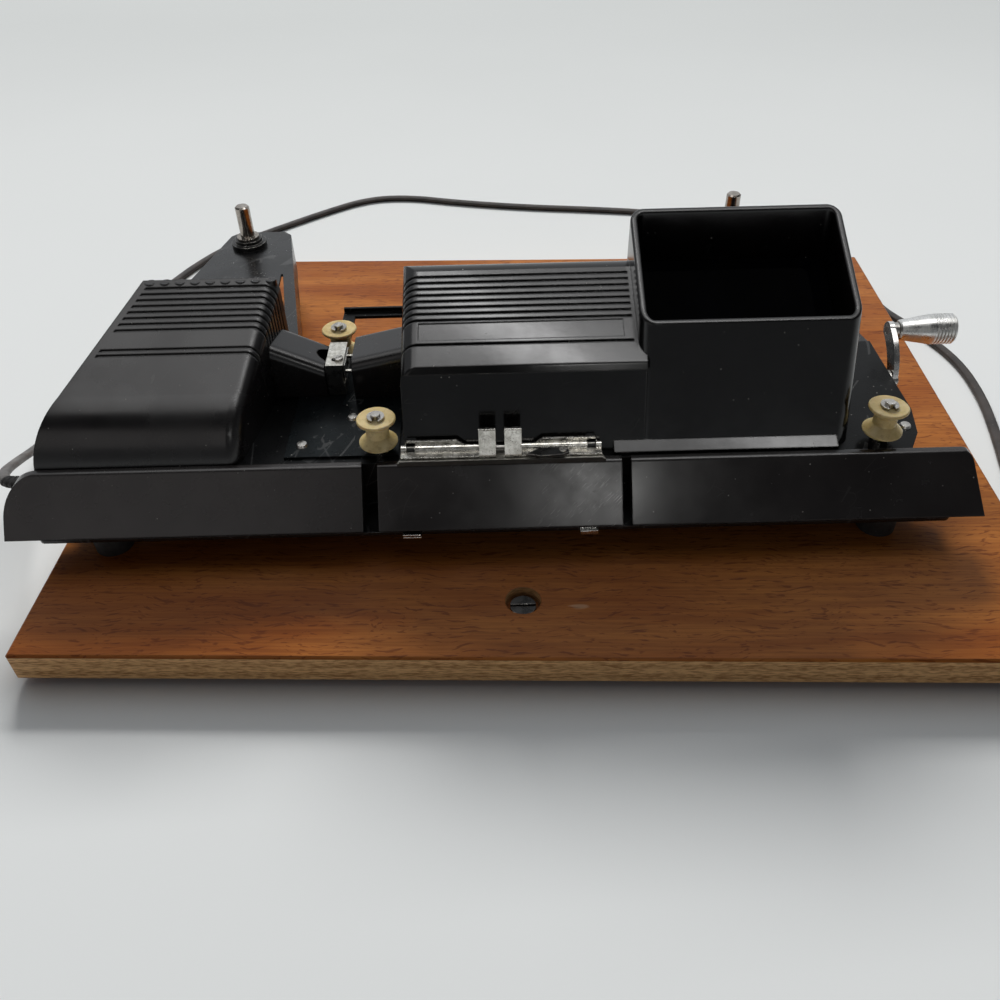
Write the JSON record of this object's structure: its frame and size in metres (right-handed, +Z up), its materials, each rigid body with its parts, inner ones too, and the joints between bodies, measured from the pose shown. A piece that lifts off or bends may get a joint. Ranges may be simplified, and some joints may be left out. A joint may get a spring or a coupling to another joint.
{
  "type": "8 mm film editor viewer",
  "caption": "Table-top 8 mm film viewer on a wooden board: ribbed lamphouse, film gate, hooded viewing screen, splicer, two reel arms with spindles, side crank and power cord.",
  "frame": {"origin": "on the table, under the middle of the box round the whole object without its power cord, coil and plug", "axes": "+Z up; +X to the right of the person who uses it, along the front bars, from lamphouse to crank; +Y away from that person, from the front bars towards the reel spindles"},
  "size_m": [0.5547, 0.4759, 0.1263],
  "materials": {
    "varnished_plywood": "varnished, satin gloss",
    "black_enamel": "stoved black enamel, half gloss",
    "black_bakelite": "moulded, polished and a little worn",
    "chrome_plate": "bright, lightly pitted",
    "plain_steel": "bright zinc and plain steel",
    "turned_aluminium": "turned",
    "cream_nylon": "moulded, satin",
    "black_rubber": "matt",
    "blackened_steel": "chemically blackened",
    "optical_glass": "polished",
    "ground_glass": "ground on one side",
    "silvered_glass": "polished",
    "cord_plastic": "half matt flex"
  },
  "bodies": {
    "base": {"wood_board": "varnished_plywood", "board_pads": "black_rubber", "board_screw": "blackened_steel", "base_plate": "black_enamel", "rubber_feet": "black_rubber", "foot_screws": "plain_steel", "deck_pan": "black_enamel", "deck_screws": "chrome_plate", "left_front_bar": "black_bakelite", "centre_front_bar": "black_bakelite", "right_front_bar": "black_bakelite", "left_arm": "black_enamel", "right_arm": "black_enamel", "arm_screws": "plain_steel", "lamphouse_cover": "black_bakelite", "condenser_shroud": "black_bakelite", "condenser_lens": "optical_glass", "lamp_socket": "plain_steel", "lamp_bulb": "optical_glass", "lamp_reflector": "chrome_plate", "track_plate": "black_enamel", "film_gate": "chrome_plate", "lens_shroud": "black_bakelite", "viewer_housing": "black_bakelite", "viewing_screen": "ground_glass", "mirror": "silvered_glass", "mirror_bracket": "blackened_steel", "roller_posts": "chrome_plate", "roller_clips": "plain_steel", "left_collar": "blackened_steel", "right_collar": "blackened_steel", "disc_axle": "plain_steel", "drive_belt": "black_rubber", "crank_bearing": "plain_steel", "shaft_bracket": "plain_steel", "splicer_bed": "chrome_plate", "splicer_pin": "plain_steel", "cord_grommet": "black_rubber", "power_cord": "cord_plastic", "cord_coil": "cord_plastic", "plug": "black_bakelite"},
    "gate_roller": {"gate_roller": "cream_nylon"},
    "front_roller": {"front_roller": "cream_nylon"},
    "right_roller": {"right_roller": "cream_nylon"},
    "left_spindle": {"left_spindle": "chrome_plate", "left_spindle_ring": "plain_steel"},
    "right_spindle": {"right_spindle": "chrome_plate", "spindle_pulley": "turned_aluminium"},
    "drive_disc": {"drive_disc": "plain_steel"},
    "crank": {"crank_shaft": "plain_steel", "friction_wheel": "black_rubber", "crank_arm": "chrome_plate", "knob_pin": "plain_steel"},
    "crank_knob": {"crank_knob": "turned_aluminium"},
    "lens_barrel": {"lens_barrel": "turned_aluminium", "lens_elements": "optical_glass"},
    "pressure_plate": {"pressure_plate": "chrome_plate"},
    "left_clamp": {"left_clamp": "chrome_plate"},
    "right_clamp": {"right_clamp": "chrome_plate"},
    "cutter_lever": {"cutter_lever": "blackened_steel"}
  },
  "joints": [
    {"name": "gate_roller_spin", "type": "hinge", "parent": "base", "child": "gate_roller", "pos_m": [-0.08663, -0.009, 0.064], "axis": [0, 0, 1], "continuous": true},
    {"name": "front_roller_spin", "type": "hinge", "parent": "base", "child": "front_roller", "pos_m": [-0.06353, -0.0802, 0.064], "axis": [0, 0, 1], "continuous": true},
    {"name": "right_roller_spin", "type": "hinge", "parent": "base", "child": "right_roller", "pos_m": [0.14427, -0.0811, 0.064], "axis": [0, 0, 1], "continuous": true},
    {"name": "left_spindle_spin", "type": "hinge", "parent": "base", "child": "left_spindle", "pos_m": [-0.15553, 0.1173, 0.059], "axis": [0, 0, 1], "continuous": true},
    {"name": "crank_turn", "type": "hinge", "parent": "base", "child": "crank", "pos_m": [0.16547, -0.0305, 0.048], "axis": [1, 0, 0], "continuous": true},
    {"name": "drive_disc_turn", "type": "hinge", "parent": "base", "child": "drive_disc", "pos_m": [0.10447, -0.0305, 0.037], "axis": [0, 0, 1], "continuous": true},
    {"name": "right_spindle_turn", "type": "hinge", "parent": "base", "child": "right_spindle", "pos_m": [0.12247, 0.1173, 0.059], "axis": [0, 0, 1], "continuous": true},
    {"name": "crank_knob_spin", "type": "hinge", "parent": "crank", "child": "crank_knob", "pos_m": [0.18347, -0.01454, 0.06511], "axis": [1, 0, 0], "continuous": true},
    {"name": "lens_focus", "type": "slide", "parent": "base", "child": "lens_barrel", "axis": [1, 0, 0], "range_m": [-0.0015, 0.004]},
    {"name": "pressure_plate_slide", "type": "slide", "parent": "base", "child": "pressure_plate", "axis": [1, 0, 0], "range_m": [0, 0.0015], "stiffness_N_per_m": 60, "springref_m": -0.002},
    {"name": "left_clamp_lift", "type": "hinge", "parent": "base", "child": "left_clamp", "pos_m": [-0.03453, -0.0851, 0.0575], "axis": [-1, 0, 0], "range_deg": [0, 45]},
    {"name": "right_clamp_lift", "type": "hinge", "parent": "base", "child": "right_clamp", "pos_m": [0.00817, -0.0851, 0.0575], "axis": [-1, 0, 0], "range_deg": [0, 45]},
    {"name": "cutter_swing", "type": "hinge", "parent": "right_clamp", "child": "cutter_lever", "pos_m": [0.01197, -0.0898, 0.058], "axis": [0, 0, 1], "range_deg": [0, 40]}
  ],
  "couplings": [
    {"joint": "drive_disc_turn", "follows": "crank_turn", "ratio": 0.5},
    {"joint": "right_spindle_turn", "follows": "crank_turn", "ratio": 1}
  ]
}
